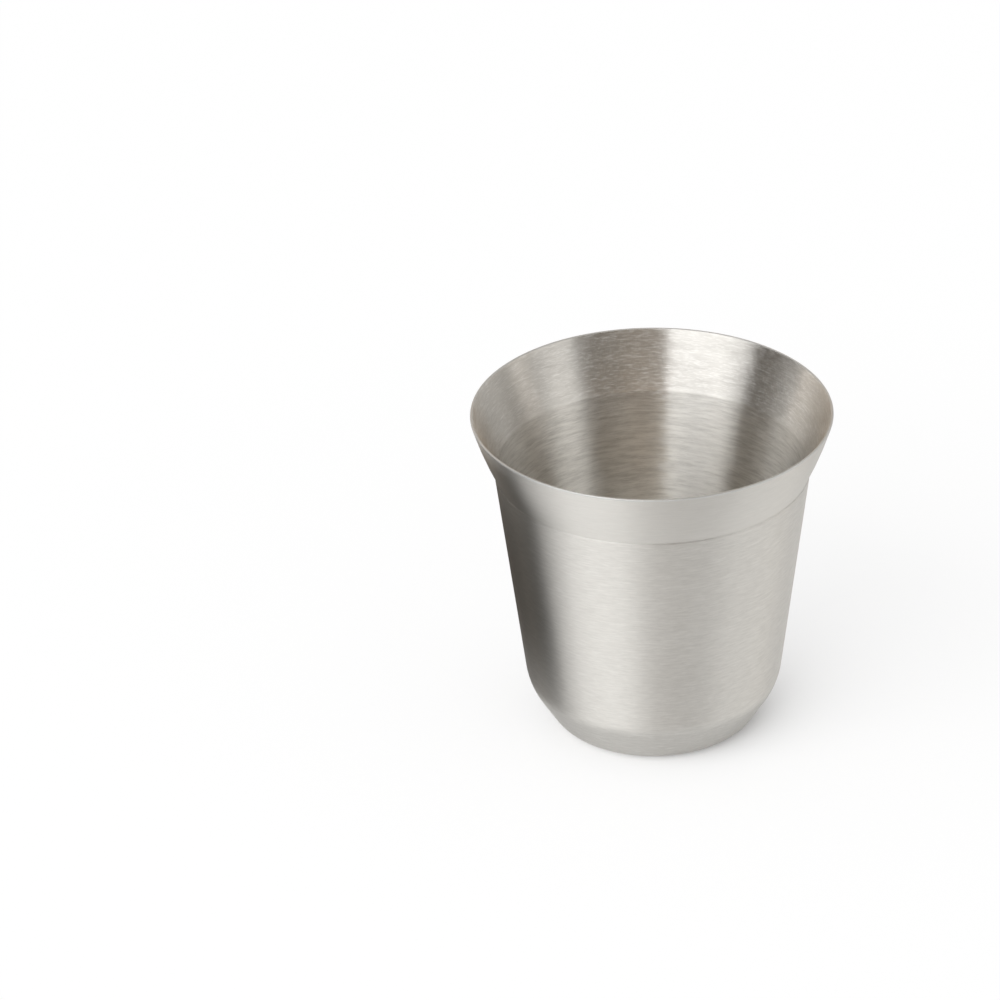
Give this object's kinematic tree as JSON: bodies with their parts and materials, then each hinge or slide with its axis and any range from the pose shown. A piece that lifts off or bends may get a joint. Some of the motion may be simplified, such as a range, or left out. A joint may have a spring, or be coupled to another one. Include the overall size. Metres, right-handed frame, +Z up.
{
  "type": "double-wall espresso cup",
  "caption": "Double-wall brushed steel espresso cup with a flared single-wall lip, tapered wall, rounded base and recessed closing plate.",
  "frame": {"origin": "centre of the foot ring, on the surface that the cup stands on", "axes": "+Z up along the cup's axis of revolution; X and Y are free"},
  "size_m": [0.065, 0.065, 0.062],
  "materials": {
    "liner_steel": "stainless steel, brushed round the axis, coarser inside, fine on the lip's outside",
    "shell_steel": "stainless steel, finely brushed round the axis, satin",
    "base_steel": "stainless steel, turned with fine circular grain",
    "weld_steel": "stainless steel weld, ground, slightly darker and sunk in its groove"
  },
  "bodies": {
    "root": {"inner_cup": "liner_steel", "outer_shell": "shell_steel", "base_plate": "base_steel", "neck_weld": "weld_steel", "base_weld": "weld_steel"}
  },
  "joints": []
}
